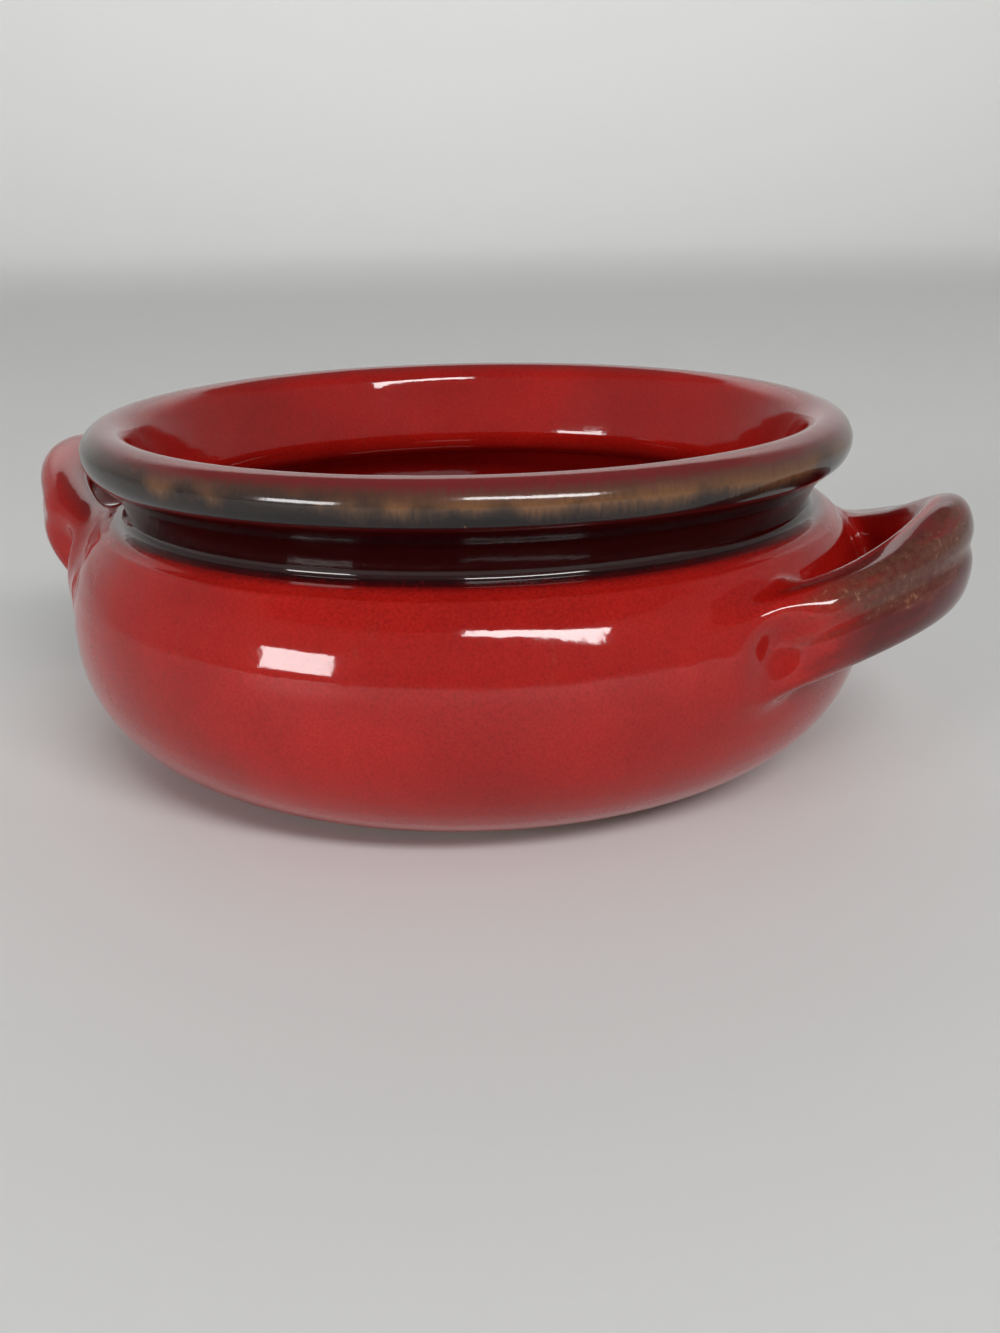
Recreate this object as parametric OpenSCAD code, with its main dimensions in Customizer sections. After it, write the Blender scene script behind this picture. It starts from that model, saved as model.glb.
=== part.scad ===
// Two-handled terracotta casserole: a thrown bowl with a rolled rim, two pulled strap
// handles luted to its belly, and the glaze coats that seal the clay.
// The foot stands on z = 0, the bowl turns about z, and the handles point along +x and -x.

/* [Bowl] */
// Outside radius of the belly
belly_r = 105.5; // [95:0.5:118]
// Height of the belly's widest ring
belly_z = 40.3; // [36:0.2:44]
// How far the outside of the rolled rim lies in from the belly's
rim_in = 5.5; // [2:0.5:8]
// Height of the top of the rim
rim_top = 90.6; // [87:0.2:96]
// Radius of the rolled rim's bead
bead_r = 6; // [5:0.25:7]
// Height at which the shoulder's curve would crest
shoulder_z = 68.6; // [65:0.2:71]
// How far in from the rim the shoulder's curve would crest
crest_in = 13; // [11:0.5:15]
// Angle up the shoulder's curve at which the neck takes over
neck_angle = 81; // [78:0.5:83]
// Radius of the crease at the bottom of the neck
crease_r = 2.5; // [2:0.25:3.5]
// Radius of the turn from the lip into the inside of the belly
turn_r = 6; // [5:0.25:7]
// Angle up the inner shoulder's curve at which that turn takes over
turn_angle = 83.5; // [82:0.5:88]
// Radius of the flat foot
foot_r = 57; // [50:1:66]
// Bevel round the edge of the foot
foot_bevel = 1.2; // [0.6:0.2:2]
// Thickness of the wall
wall = 5; // [4:0.25:6]
// Thickness of the floor
floor_t = 6.5; // [5:0.25:8]
// Fullness of the lower belly, where 2 is an ellipse
lower_fullness = 2.2; // [2:0.05:2.6]
// Fullness of the shoulder, where 2 is an ellipse
shoulder_fullness = 2; // [2:0.05:2.3]

/* [Handles] */
// Reach of a handle's grip past the belly, to the middle of the strap
handle_reach = 19.5; // [17:0.5:23]
// Height of the middle of the grip above the belly's widest ring
grip_lift = 21.6; // [17:0.2:24]
// Height of the middle of each foot of the handle above the belly's widest ring
foot_lift = 5.2; // [3:0.2:8]
// Angle round the bowl from the grip to the strap's buried end
half_span = 38; // [35:0.5:42]
// Depth of the strap's buried end below the belly's outside
end_depth = 8; // [7:0.5:10]
// Thickness of the strap at the grip
grip_t = 13.6; // [12:0.2:15]
// Height of the strap at the grip
grip_h = 26.4; // [23:0.2:29]
// Thickness of the strap at its feet
strap_foot_t = 12; // [10:0.2:13]
// Height of the strap at its feet
strap_foot_h = 25; // [21:0.2:28]
// How far each edge of the strap draws in between grip and foot
strap_waist = 1.6; // [0:0.1:2]
// How late the strap rises from its feet to the grip, where 1 is steadily
late_rise = 1.3; // [1:0.05:1.6]
// Share by which the strap is thicker along its top edge than at its middle
top_heavy = 0.28; // [0:0.01:0.3]
// Fullness of the strap's section, where 2 is an ellipse
strap_fullness = 2.5; // [2:0.05:2.8]
// Angle by which the grip's top edge leans in towards the rim
grip_lean = 3; // [0:0.5:10]
// Angle by which the strap leans in further halfway between grip and foot
arm_lean = 6; // [0:0.5:8]
// Depth of the finger flutes along the outside of the strap
flute_depth = 0.45; // [0:0.05:0.8]

/* [Thumb presses] */
// Angle round the bowl from the grip to each thumb press
thumb_at = 25; // [23:0.5:27]
// Depth of a thumb press
thumb_depth = 3.4; // [0:0.1:3.8]
// Half width of a thumb press along the strap
thumb_w = 9.5; // [7:0.5:11]
// Half height of a thumb press
thumb_h = 9; // [7:0.5:11]

/* [Coats] */
// Thickness of the glaze
glaze_t = 0.4; // [0.2:0.05:0.6]
// Thickness of the slip that lutes the handles to the bowl
slip_t = 0.6; // [0.4:0.05:1]
// Height of the bare clay left above the foot
bare_foot = 2.5; // [1.5:0.25:5]

/* [Hidden] */

clay_colour = "#b86a42";
red_colour = "#a5161a";
rim_colour = "#46302a";
slip_colour = "#c98a62";

// Facets round a whole turn of the bowl
$fn = 180;
// Largest turn between two points of the belly's, the bead's and the crease's curves
belly_step = 5;
bead_step = 10;
crease_step = 15;
// Rings along a strap, and points round each ring
strap_rings = 36;
strap_sides = 22;
// Rings at each end of a strap that hold all of its foot
foot_rings = 11;
// Flutes on a full turn of the strap's section
flute_count = 6;
// Strength of the ridge that a thumb press raises round itself
thumb_ridge = 2;
// Share of the strap's half length where its tongue-shaped end starts
tongue_from = 0.6;
// Share of the strap's height that is left at its buried end
tongue_end = 0.42;

rim_r = belly_r - rim_in;
bead_mid = [rim_r - bead_r, rim_top - bead_r];

lower_mid = [foot_r + foot_bevel, belly_z];
lower_size = [belly_r - lower_mid.x, foot_bevel - belly_z];
lower_inner_size = [lower_size.x - wall, floor_t - belly_z];
shoulder_mid = [rim_r - crest_in, belly_z];
shoulder_size = [belly_r - shoulder_mid.x, shoulder_z - belly_z];
shoulder_inner_size = shoulder_size - [wall, wall];

grip_r = belly_r + handle_reach;
grip_z = belly_z + grip_lift;
strap_end_r = belly_r - end_depth;
strap_foot_z = belly_z + foot_lift;

function unit(v) = v / norm(v);
function reverse(list) = [for (i = [len(list) - 1:-1:0]) list[i]];

// A station is a point of the bowl's section and the direction that faces out of the clay.
// A quarter of a superellipse runs from its widest ring at 0 to its end at 90 degrees.
function quarter(mid, size, fullness, a) =
    let (
        u = pow(cos(a), 2 / fullness),
        v = pow(sin(a), 2 / fullness),
        facing = [pow(u, fullness - 1) / size.x, pow(v, fullness - 1) / size.y]
    )
    [mid + [size.x * u, size.y * v], unit(facing)];

// A station on a round that bulges out of the clay where bulge is 1, and into it where it is -1
function round_at(mid, r, a, bulge) = [mid + r * [cos(a), sin(a)], bulge * [cos(a), sin(a)]];

function lower(a) = quarter(lower_mid, lower_size, lower_fullness, a);
function lower_inner(a) = quarter(lower_mid, lower_inner_size, lower_fullness, a);
function shoulder(a) = quarter(shoulder_mid, shoulder_size, shoulder_fullness, a);
function shoulder_inner(a) = quarter(shoulder_mid, shoulder_inner_size, shoulder_fullness, a);
function inward(station) = [station[0], -station[1]];
function points(stations, off) = [for (s = stations) s[0] + off * s[1]];

// The neck's crease leaves the shoulder's curve smoothly, and the neck flares from it in the
// straight line that touches both the crease and the underside of the bead
neck_start = shoulder(neck_angle);
crease_mid = neck_start[0] + crease_r * neck_start[1];
crease_from = 180 + atan2(neck_start[1].y, neck_start[1].x);
neck_run = bead_mid - crease_mid;
crease_to = 90 + atan2(neck_run.y, neck_run.x) - asin((crease_r + bead_r) / norm(neck_run));

// Inside, a turn leaves the inner shoulder's curve smoothly, and the lip is the straight line
// that touches both that turn and the bead
turn_start = shoulder_inner(turn_angle);
turn_mid = turn_start[0] + turn_r * turn_start[1];
turn_to = 180 + atan2(turn_start[1].y, turn_start[1].x);
lip_run = turn_mid - bead_mid;
lip_facing = 360 + atan2(lip_run.y, lip_run.x) - acos((bead_r - turn_r) / norm(lip_run));

lower_steps = ceil(90 / belly_step);
shoulder_steps = ceil(neck_angle / belly_step);
outside_stations = concat(
    [for (i = [lower_steps:-1:0]) lower(90 * i / lower_steps)],
    [for (i = [1:shoulder_steps]) shoulder(neck_angle * i / shoulder_steps)]
);
glazed_outside = [for (s = outside_stations) if (s[0].y >= bare_foot) s];

crease_steps = ceil((crease_from - crease_to) / crease_step);
crease_stations = [for (i = [1:crease_steps])
    round_at(crease_mid, crease_r, crease_from + (crease_to - crease_from) * i / crease_steps, -1)];

// The bead starts where the neck touches it and ends where the lip leaves it
bead_from = crease_to - 180;
bead_steps = ceil((lip_facing - bead_from) / bead_step);
bead_stations = [for (i = [0:bead_steps])
    round_at(bead_mid, bead_r, bead_from + (lip_facing - bead_from) * i / bead_steps, 1)];

lip_end = round_at(turn_mid, turn_r, lip_facing, 1);
turn_steps = ceil((turn_to - lip_facing) / bead_step);
inside_stations = concat(
    [for (i = [1:turn_steps])
        round_at(turn_mid, turn_r, lip_facing + (turn_to - lip_facing) * i / turn_steps, 1)],
    [for (i = [shoulder_steps - 1:-1:0]) inward(shoulder_inner(turn_angle * i / shoulder_steps))],
    [for (i = [1:lower_steps]) inward(lower_inner(90 * i / lower_steps))],
    [[[0, floor_t], [0, 1]]]
);

// Radius of the bowl's outside at a height between the foot and the shoulder
function curve_r(mid, size, fullness, z) =
    mid.x + size.x * pow(max(0, 1 - pow((z - mid.y) / size.y, fullness)), 1 / fullness);
function wall_r(z) =
    z < belly_z
        ? curve_r(lower_mid, lower_size, lower_fullness, z)
        : curve_r(shoulder_mid, shoulder_size, shoulder_fullness, z);

// How far the strap stands out at t, from 1 at the grip to 0 at its buried ends, t = -1 and 1
function stand_out(t) = pow(cos(90 * t), 2);

// Share of its height that the strap keeps at t, as its end narrows to a tongue
function tongue(t) =
    let (k = max(0, abs(t) - tongue_from) / (1 - tongue_from))
    sqrt(1 - (1 - tongue_end * tongue_end) * k * k);

// Middle of the strap in plan, hug further out than it would be by itself
function strap_mid(t, hug = 0) =
    let (r = strap_end_r + (grip_r - strap_end_r) * stand_out(t) + hug)
    r * [cos(half_span * t), sin(half_span * t)];

// Level direction across the strap, away from the bowl
function strap_across(t, step = 0.01) =
    let (along = unit(strap_mid(t + step) - strap_mid(t - step)))
    [along.y, -along.x];

// Depth of the thumb presses at t and at a height from the strap's middle
function thumb_press(t, v) =
    let (
        along = (abs(half_span * t) - thumb_at) * belly_r * PI / 180,
        d = pow(along / thumb_w, 2) + pow(v / thumb_h, 2)
    )
    thumb_depth * (1 - thumb_ridge * d) * exp(-d);

// A point on the strap's skin under a coat, at angle q round the strap's section
function strap_point(t, q, coat) =
    let (
        lift = stand_out(t),
        half_t = (strap_foot_t + (grip_t - strap_foot_t) * lift) / 2,
        drawn_in = 4 * strap_waist * lift * (1 - lift),
        half_h = ((strap_foot_h + (grip_h - strap_foot_h) * lift) / 2 - drawn_in) * tongue(t),
        across = sign(cos(q)) * pow(abs(cos(q)), 2 / strap_fullness),
        up = sign(sin(q)) * pow(abs(sin(q)), 2 / strap_fullness),
        outer = max(0, cos(q)),
        v = (half_h + coat) * up,
        flute = flute_depth * lift * cos(flute_count * q) * outer * outer,
        u = (half_t * (1 + top_heavy * up) + coat) * across + flute - thumb_press(t, v) * outer,
        lean = (grip_lean + 4 * arm_lean * (1 - lift)) * lift,
        mid_z = strap_foot_z + (grip_z - strap_foot_z) * pow(lift, late_rise),
        z = mid_z + v * cos(lean) + u * sin(lean),
        hug = (1 - lift) * (wall_r(z) - wall_r(mid_z)),
        p = strap_mid(t, hug) + (u * cos(lean) - v * sin(lean)) * strap_across(t)
    )
    [p.x, p.y, z];

// Rings of the strap's skin from one to another, counted from the strap's start
function strap_skin(coat, from, to) = [for (i = [from:to], j = [0:strap_sides - 1])
    strap_point(2 * i / strap_rings - 1, 360 * j / strap_sides, coat)];

// Triangles between the rings of a skin whose points start at first
function skin_faces(first, rings) = [for (i = [0:rings - 1], j = [0:strap_sides - 1], half = [0, 1])
    let (
        k = (j + 1) % strap_sides,
        near = first + i * strap_sides,
        far = near + strap_sides
    )
    half == 0 ? [near + j, near + k, far + k] : [near + j, far + k, far + j]];

// Fan over the ring of a skin that starts at first
function end_faces(first) = [for (j = [1:strap_sides - 2]) [first, first + j + 1, first + j]];

// Band between a ring of an outer skin and the same ring of an inner one
function band_faces(outer, inner) = [for (j = [0:strap_sides - 1], half = [0, 1])
    let (k = (j + 1) % strap_sides)
    half == 0 ? [outer + j, inner + k, outer + k] : [outer + j, inner + j, inner + k]];

function turned(faces) = [for (f = faces) reverse(f)];

// The clay of one strap between two of its rings, with its ends still buried in the bowl
module strap(from = 0, to = strap_rings) {
    rings = to - from;
    polyhedron(
        strap_skin(0, from, to),
        concat(
            skin_faces(0, rings),
            end_faces(0),
            turned(end_faces(rings * strap_sides))
        )
    );
}

// One foot of a strap, where end is -1 at the strap's start and 1 at its finish
module strap_foot(end) {
    if (end < 0)
        strap(0, foot_rings);
    else
        strap(strap_rings - foot_rings, strap_rings);
}

// The glaze round one strap, with its ends still buried in the bowl
module strap_coat() {
    last = strap_rings * strap_sides;
    inner = last + strap_sides;
    polyhedron(
        concat(strap_skin(glaze_t, 0, strap_rings), strap_skin(0, 0, strap_rings)),
        concat(
            skin_faces(0, strap_rings),
            turned(skin_faces(inner, strap_rings)),
            band_faces(0, inner),
            turned(band_faces(last, inner + last))
        )
    );
}

// A coat of a thickness on a run of stations
module coat(stations, thickness) {
    rotate_extrude()
        polygon(concat(points(stations, 0), reverse(points(stations, thickness))));
}

// The bowl filled solid up to the neck, under a coat
module filled_bowl(thickness) {
    edge = points(outside_stations, thickness);
    rotate_extrude()
        polygon(concat([[0, edge[0].y]], edge, [[0, edge[len(edge) - 1].y]]));
}

// side is 1 for the handle on +x and -1 for the one on -x
module at_side(side) {
    rotate([0, 0, side > 0 ? 0 : 180]) children();
}

module body() {
    color(clay_colour)
        rotate_extrude()
            polygon(concat(
                [[0, 0], [foot_r, 0]],
                points(outside_stations, 0),
                points(crease_stations, 0),
                points(bead_stations, 0),
                points(concat([lip_end], inside_stations), 0)
            ));
}

module inside_glaze() {
    color(red_colour)
        coat(concat([lip_end], inside_stations), glaze_t);
}

module rim_glaze() {
    color(rim_colour)
        coat(concat([crease_stations[crease_steps - 1]], bead_stations, [lip_end]), glaze_t);
}

module outside_glaze() {
    color(red_colour)
        difference() {
            coat(concat(glazed_outside, crease_stations), glaze_t);
            for (side = [1, -1], end = [1, -1])
                at_side(side) strap_foot(end);
        }
}

module handle(side) {
    color(clay_colour)
        at_side(side)
            difference() {
                strap();
                filled_bowl(slip_t);
            }
}

module handle_glaze(side) {
    color(red_colour)
        at_side(side)
            difference() {
                strap_coat();
                filled_bowl(glaze_t);
            }
}

module slip(side, end) {
    color(slip_colour)
        at_side(side)
            intersection() {
                coat(outside_stations, slip_t);
                strap_foot(end);
            }
}

module left_handle() { handle(-1); }
module right_handle() { handle(1); }
module left_handle_glaze() { handle_glaze(-1); }
module right_handle_glaze() { handle_glaze(1); }
module left_front_slip() { slip(-1, 1); }
module left_back_slip() { slip(-1, -1); }
module right_front_slip() { slip(1, -1); }
module right_back_slip() { slip(1, 1); }

body();
inside_glaze();
rim_glaze();
outside_glaze();
left_handle();
right_handle();
left_handle_glaze();
right_handle_glaze();
left_front_slip();
left_back_slip();
right_front_slip();
right_back_slip();
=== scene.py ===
import math
import bpy
import numpy as np
from mathutils import Matrix, Vector
from mathutils.bvhtree import BVHTree
from mathutils.interpolate import poly_3d_calc


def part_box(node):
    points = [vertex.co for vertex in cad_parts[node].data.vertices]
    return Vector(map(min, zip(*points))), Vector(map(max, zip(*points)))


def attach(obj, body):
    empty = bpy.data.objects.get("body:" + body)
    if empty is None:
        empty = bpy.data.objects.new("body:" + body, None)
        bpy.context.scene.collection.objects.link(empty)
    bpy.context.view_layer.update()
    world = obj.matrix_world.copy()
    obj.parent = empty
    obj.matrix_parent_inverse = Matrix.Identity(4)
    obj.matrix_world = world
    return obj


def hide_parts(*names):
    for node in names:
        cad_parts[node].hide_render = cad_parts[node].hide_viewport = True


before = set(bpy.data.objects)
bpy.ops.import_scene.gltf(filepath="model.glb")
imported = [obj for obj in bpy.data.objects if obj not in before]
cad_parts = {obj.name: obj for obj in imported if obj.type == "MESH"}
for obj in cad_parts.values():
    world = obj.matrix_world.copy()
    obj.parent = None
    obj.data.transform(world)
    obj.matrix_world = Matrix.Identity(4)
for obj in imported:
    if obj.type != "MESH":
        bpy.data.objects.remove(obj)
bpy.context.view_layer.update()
scene = bpy.context.scene
mm = 0.001
print("frame loaded:", len(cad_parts), "solids")


def nodeMaker(tree):
    # makes a node, sets its properties, and fills or links its inputs
    def make(kind, inputs=None, **settings):
        node = tree.nodes.new(kind)
        for name, value in settings.items():
            setattr(node, name, value)
        for key, value in (inputs or {}).items():
            if isinstance(value, bpy.types.NodeSocket):
                tree.links.new(value, node.inputs[key])
            else:
                node.inputs[key].default_value = value
        return node
    return make


def calc(make, operation, *values, clamp=False):
    node = make("ShaderNodeMath", dict(enumerate(values)), operation=operation, use_clamp=clamp)
    return node.outputs[0]


def smoothStep(low, high, value):
    k = np.clip((value - low) / (high - low), 0, 1)
    return k * k * (3 - 2 * k)


# Camera, set by the photograph's own viewpoint: places in mm, with the bowl's axis at x = 0
viewpoint = {
    "back": 399.8,          # from the bowl's axis, level
    "height": 150.8,
    "pitch": 18.37,         # down, in degrees
    "yaw": 1.08,
    "roll": -1.07,
    "handleTurn": 25.0,     # the handles' line, turned towards the viewer
    "focalPixels": 1500.0,
    "imageTall": 1333.0,
}


def turned(x, y, z):
    # a place beside the viewpoint, in mm, put into the frame of the dish
    return Matrix.Rotation(math.radians(viewpoint["handleTurn"]), 3, "Z") @ Vector((x, y, z)) * mm


def makeCamera():
    pitch, yaw, roll = (math.radians(viewpoint[k]) for k in ("pitch", "yaw", "roll"))
    ahead = turned(math.sin(yaw) * math.cos(pitch), math.cos(yaw) * math.cos(pitch), -math.sin(pitch))
    ahead.normalize()
    right = ahead.cross(Vector((0, 0, 1))).normalized()
    down = ahead.cross(right)
    across = right * math.cos(roll) - down * math.sin(roll)
    up = -(right * math.sin(roll) + down * math.cos(roll))
    data = bpy.data.cameras.new("viewCamera")
    data.sensor_width = 36.0
    data.lens = data.sensor_width * viewpoint["focalPixels"] / viewpoint["imageTall"]
    camera = bpy.data.objects.new("viewCamera", data)
    camera.matrix_world = Matrix.Translation(turned(0, -viewpoint["back"], viewpoint["height"])) @ Matrix(
        (across, up, -ahead)).transposed().to_4x4()
    scene.collection.objects.link(camera)
    scene.camera = camera


makeCamera()
print("camera set")


# Bowl: the clay's sizes in mm, under an even coat of glaze
glazeDeep = (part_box("rim_glaze")[1].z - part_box("body")[1].z) / mm
bowl = {
    "rimRadius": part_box("rim_glaze")[1].y / mm - glazeDeep,
    "rimTop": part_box("body")[1].z / mm,
    "beadRadius": 6.0,
    "bellyRadius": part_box("outside_glaze")[1].y / mm - glazeDeep,
    "bellyHeight": 40.3,
    "crestHeight": 68.6,
    "crestIn": 13.0,
    "shoulderEnd": 62.0,    # degrees up the shoulder's curve, where it flattens towards the neck
    "flat": (94.1, 66.5),
    "crease": (89.2, 66.6),
    "flatRound": 4.0,       # radii of the neck's three bends, from the flat up
    "creaseRound": 2.4,
    "flareRound": 14.0,
    "neckLean": 77.0,       # degrees from level, up from the crease
    "flare": 39.5,          # degrees from level, from the neck out to the rim's bead
    "turnRadius": 6.0,
    "turnAngle": 83.5,
    "footRadius": 57.0,
    "footBevel": 1.2,
    "wall": 5.0,
    "floor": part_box("inside_glaze")[0].z / mm,
    "lowerFullness": 2.2,
    "shoulderFullness": 2.0,
    "bareFoot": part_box("outside_glaze")[0].z / mm,
    "poolRadius": 91.9,     # lower edge of the dark glaze that pools in the neck
    "poolTop": 68.0,        # height above which the neck is all dark
    "skinRadius": 86.8,     # what lies outside this, above the next height, is the bowl's outer skin
    "skinTop": 66.0,
    "closeStep": 0.6,       # degrees between columns beside the handles' feet, and elsewhere
    "openStep": 1.8,
    "wobble": 0.35,
    "ringDeep": 0.05,       # throwing rings
    "ringPitch": 5.2,
    "trimDeep": 0.16,       # rings left by trimming the base
    "trimPitch": 3.4,
}
# Ridges left by the potter's tool: radius on the shoulder, height and half width
shoulderRidges = ((96.9, 0.22, 0.75),)

lowerMid = np.array((bowl["footRadius"] + bowl["footBevel"], bowl["bellyHeight"]))
lowerSize = np.array((bowl["bellyRadius"] - lowerMid[0], bowl["footBevel"] - bowl["bellyHeight"]))
lowerInner = np.array((lowerSize[0] - bowl["wall"], bowl["floor"] - bowl["bellyHeight"]))
shoulderMid = np.array((bowl["rimRadius"] - bowl["crestIn"], bowl["bellyHeight"]))
shoulderSize = np.array((bowl["bellyRadius"] - shoulderMid[0], bowl["crestHeight"] - bowl["bellyHeight"]))
beadMid = np.array((bowl["rimRadius"] - bowl["beadRadius"], bowl["rimTop"] - bowl["beadRadius"]))


def quarter(mid, size, fullness, degrees):
    # points and outward directions on a quarter of a superellipse
    a = np.radians(np.asarray(degrees, float))
    u = np.abs(np.cos(a)) ** (2 / fullness)
    v = np.abs(np.sin(a)) ** (2 / fullness)
    facing = np.stack((u ** (fullness - 1) / size[0], v ** (fullness - 1) / size[1]), 1)
    facing /= np.linalg.norm(facing, axis=1)[:, None]
    return np.stack((mid[0] + size[0] * u, mid[1] + size[1] * v), 1), facing


def roundRun(mid, radius, degrees, bulge):
    a = np.radians(np.asarray(degrees, float))
    out = np.stack((np.cos(a), np.sin(a)), 1)
    return np.asarray(mid) + radius * out, bulge * out


def easedPath(corners, radii):
    # straight runs with their corners rounded: points, and the directions to the right of the path
    corners = [np.asarray(corner, float) for corner in corners]
    path = [corners[0]]
    for before, corner, after, radius in zip(corners, corners[1:], corners[2:], radii):
        back, ahead = before - corner, after - corner
        back, ahead = back / np.hypot(*back), ahead / np.hypot(*ahead)
        half = math.acos(back @ ahead) / 2
        centre = corner + (back + ahead) / np.hypot(*(back + ahead)) * radius / math.sin(half)
        ends = [corner + way * radius / math.tan(half) - centre for way in (back, ahead)]
        first, last = (math.atan2(end[1], end[0]) for end in ends)
        sweep = (last - first + math.pi) % math.tau - math.pi
        path += [centre + radius * np.array((math.cos(first + sweep * k), math.sin(first + sweep * k)))
                 for k in np.linspace(0, 1, 9)]
    path = np.array(path + [corners[-1]])
    along = np.gradient(path, axis=0)
    along /= np.linalg.norm(along, axis=1)[:, None]
    return path, np.stack((along[:, 1], -along[:, 0]), 1)


def bowlSection():
    # the glazed bowl's section from the axis under the floor, up the outside and back to the axis;
    # beside each point, quarter turns round the rim's bead, running on down the inside to set the painted
    # shade there, and depth into the pool in the neck
    even = np.linspace
    bead, turn = bowl["beadRadius"], bowl["turnRadius"]
    shoulderFull, lowerFull = bowl["shoulderFullness"], bowl["lowerFullness"]
    beadFrom = bowl["flare"] - 90
    neckTop = roundRun(beadMid, bead, [beadFrom], 1)[0][0]
    steep, shallow = (math.tan(math.radians(bowl[k])) for k in ("neckLean", "flare"))
    rise = neckTop - bowl["crease"]
    rise = (rise[1] - rise[0] * shallow) / (1 - shallow / steep)
    flareFoot = bowl["crease"] + np.array((rise / steep, rise))
    inside = shoulderSize - bowl["wall"]
    turnStart, turnOut = (v[0] for v in quarter(shoulderMid, inside, shoulderFull, [bowl["turnAngle"]]))
    turnMid = turnStart + turn * turnOut
    turnTo = 180 + math.degrees(math.atan2(turnOut[1], turnOut[0]))
    run = turnMid - beadMid
    lipFacing = 360 + math.degrees(math.atan2(run[1], run[0]) - math.acos((bead - turn) / np.hypot(*run)))
    lipOut = np.array((math.cos(math.radians(lipFacing)), math.sin(math.radians(lipFacing))))
    lip = beadMid + bead * lipOut + np.outer(even(0, 1, 9)[1:], run + (turn - bead) * lipOut)
    lower, lowerOut = quarter(lowerMid, lowerSize, lowerFull, even(90, 0, 42))
    glazed = lower[:, 1] >= bowl["bareFoot"]
    # closer points over the ridge
    stops, counts = (0, 51, bowl["shoulderEnd"]), (28, 34)
    angles = np.concatenate([even(a, b, n)[1:] for a, b, n in zip(stops, stops[1:], counts)])
    shoulder, shoulderOut = quarter(shoulderMid, shoulderSize, shoulderFull, angles)
    neck, neckOut = easedPath(
        (shoulder[-1], bowl["flat"], bowl["crease"], flareFoot, neckTop),
        (bowl["flatRound"], bowl["creaseRound"], bowl["flareRound"]))
    neck, neckOut = neck[1:], neckOut[1:]
    inPool = neck[:, 1] < bowl["poolTop"]
    for radius, tall, half in shoulderRidges:
        shoulder += tall * np.exp(-((shoulder[:, :1] - radius) / half) ** 2) * shoulderOut
    beadTurns = even(beadFrom, lipFacing, 34)[1:]
    inner, innerOut = quarter(shoulderMid, inside, shoulderFull, even(bowl["turnAngle"], 0, 14)[1:])
    bottom, bottomOut = quarter(lowerMid, lowerInner, lowerFull, even(0, 90, 21)[1:])
    # marks: the bead mark runs down the inside to the floor, where the shader paints shade
    below, within, insideShade, dry, deep = -2.6, 2.6, 3.4, -50.0, 6.0
    runs = [
        (lower[glazed], lowerOut[glazed], below, dry),
        (shoulder, shoulderOut, below, bowl["poolRadius"] - shoulder[:, 0]),
        (neck, neckOut, np.where(inPool, below, even(-2.2, beadFrom / 90, len(neck))),
         np.where(inPool, bowl["poolRadius"] - neck[:, 0], deep)),
        (*roundRun(beadMid, bead, beadTurns, 1), beadTurns / 90,
         deep - 14 * smoothStep(-0.52, -0.26, beadTurns / 90)),
        (lip, np.tile(lipOut, (len(lip), 1)), even(lipFacing / 90, within, len(lip)), dry),
        (*roundRun(turnMid, turn, even(lipFacing, turnTo, 12)[1:], 1), within, dry),
        (inner, -innerOut, even(within, insideShade, len(inner)), dry),
        (bottom, -bottomOut, insideShade, dry),
    ]
    skin = np.concatenate([points + glazeDeep * out for points, out, _, _ in runs])
    across = even(skin[-1, 0], 0, 8)[1:]
    floor = np.stack((across, np.full_like(across, skin[-1, 1])), 1)
    edge, edgeOut = lower[glazed][0], lowerOut[glazed][0]
    under = even(0, edge[0] - 1, 3)
    base = np.stack((under, np.full_like(under, edge[1])), 1)
    lipRound = np.array([edge, edge + 0.75 * glazeDeep * edgeOut - (0, 0.12)])
    marks = [np.concatenate([np.full(5, low)] + [np.broadcast_to(r[k], len(r[0])) for r in runs]
                            + [np.full(len(floor), high)])
             for k, low, high in ((2, below, insideShade), (3, dry, dry))]
    return np.concatenate((base, lipRound, skin, floor)), *marks


def footSection():
    # the bare clay below the glaze, with the rings left by trimming the base
    foot, bevel = bowl["footRadius"], bowl["footBevel"]
    inward = np.linspace(0, foot - 2, 90)
    trimmed = 0.5 - 0.5 * np.cos(math.tau * inward / bowl["trimPitch"])
    trimmed *= bowl["trimDeep"] * smoothStep(2, 6, inward) * smoothStep(foot - 2, foot - 6, inward)
    base = np.stack((inward, trimmed), 1)
    rounding = np.radians(np.linspace(-90, 0, 7))
    edge = np.stack((foot + bevel * np.cos(rounding), bevel + bevel * np.sin(rounding)), 1)
    side, _ = quarter(lowerMid, lowerSize, bowl["lowerFullness"], np.linspace(90, 0, 62))
    side = side[(side[:, 1] > bevel + 0.1) & (side[:, 1] <= bowl["bareFoot"] + 0.01)]
    inside = np.linspace(side[-1, 0] - 0.5, 0, 6)
    top = np.stack((inside, np.full_like(inside, side[-1, 1])), 1)
    return np.concatenate((base, edge, side, top))


def turnColumns():
    # angles round the bowl, closer together where the handles' feet stand
    steps, angle = [], 0.0
    while angle < 90:
        steps.append(angle)
        angle += bowl["closeStep"] if 14 < angle < 46 else bowl["openStep"]
    quarterTurn = np.array(steps) * 90 / angle
    half = np.concatenate((quarterTurn, [90.0], 180 - quarterTurn[:0:-1]))
    return np.radians(np.concatenate((half, half + 180, [360.0])))


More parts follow.
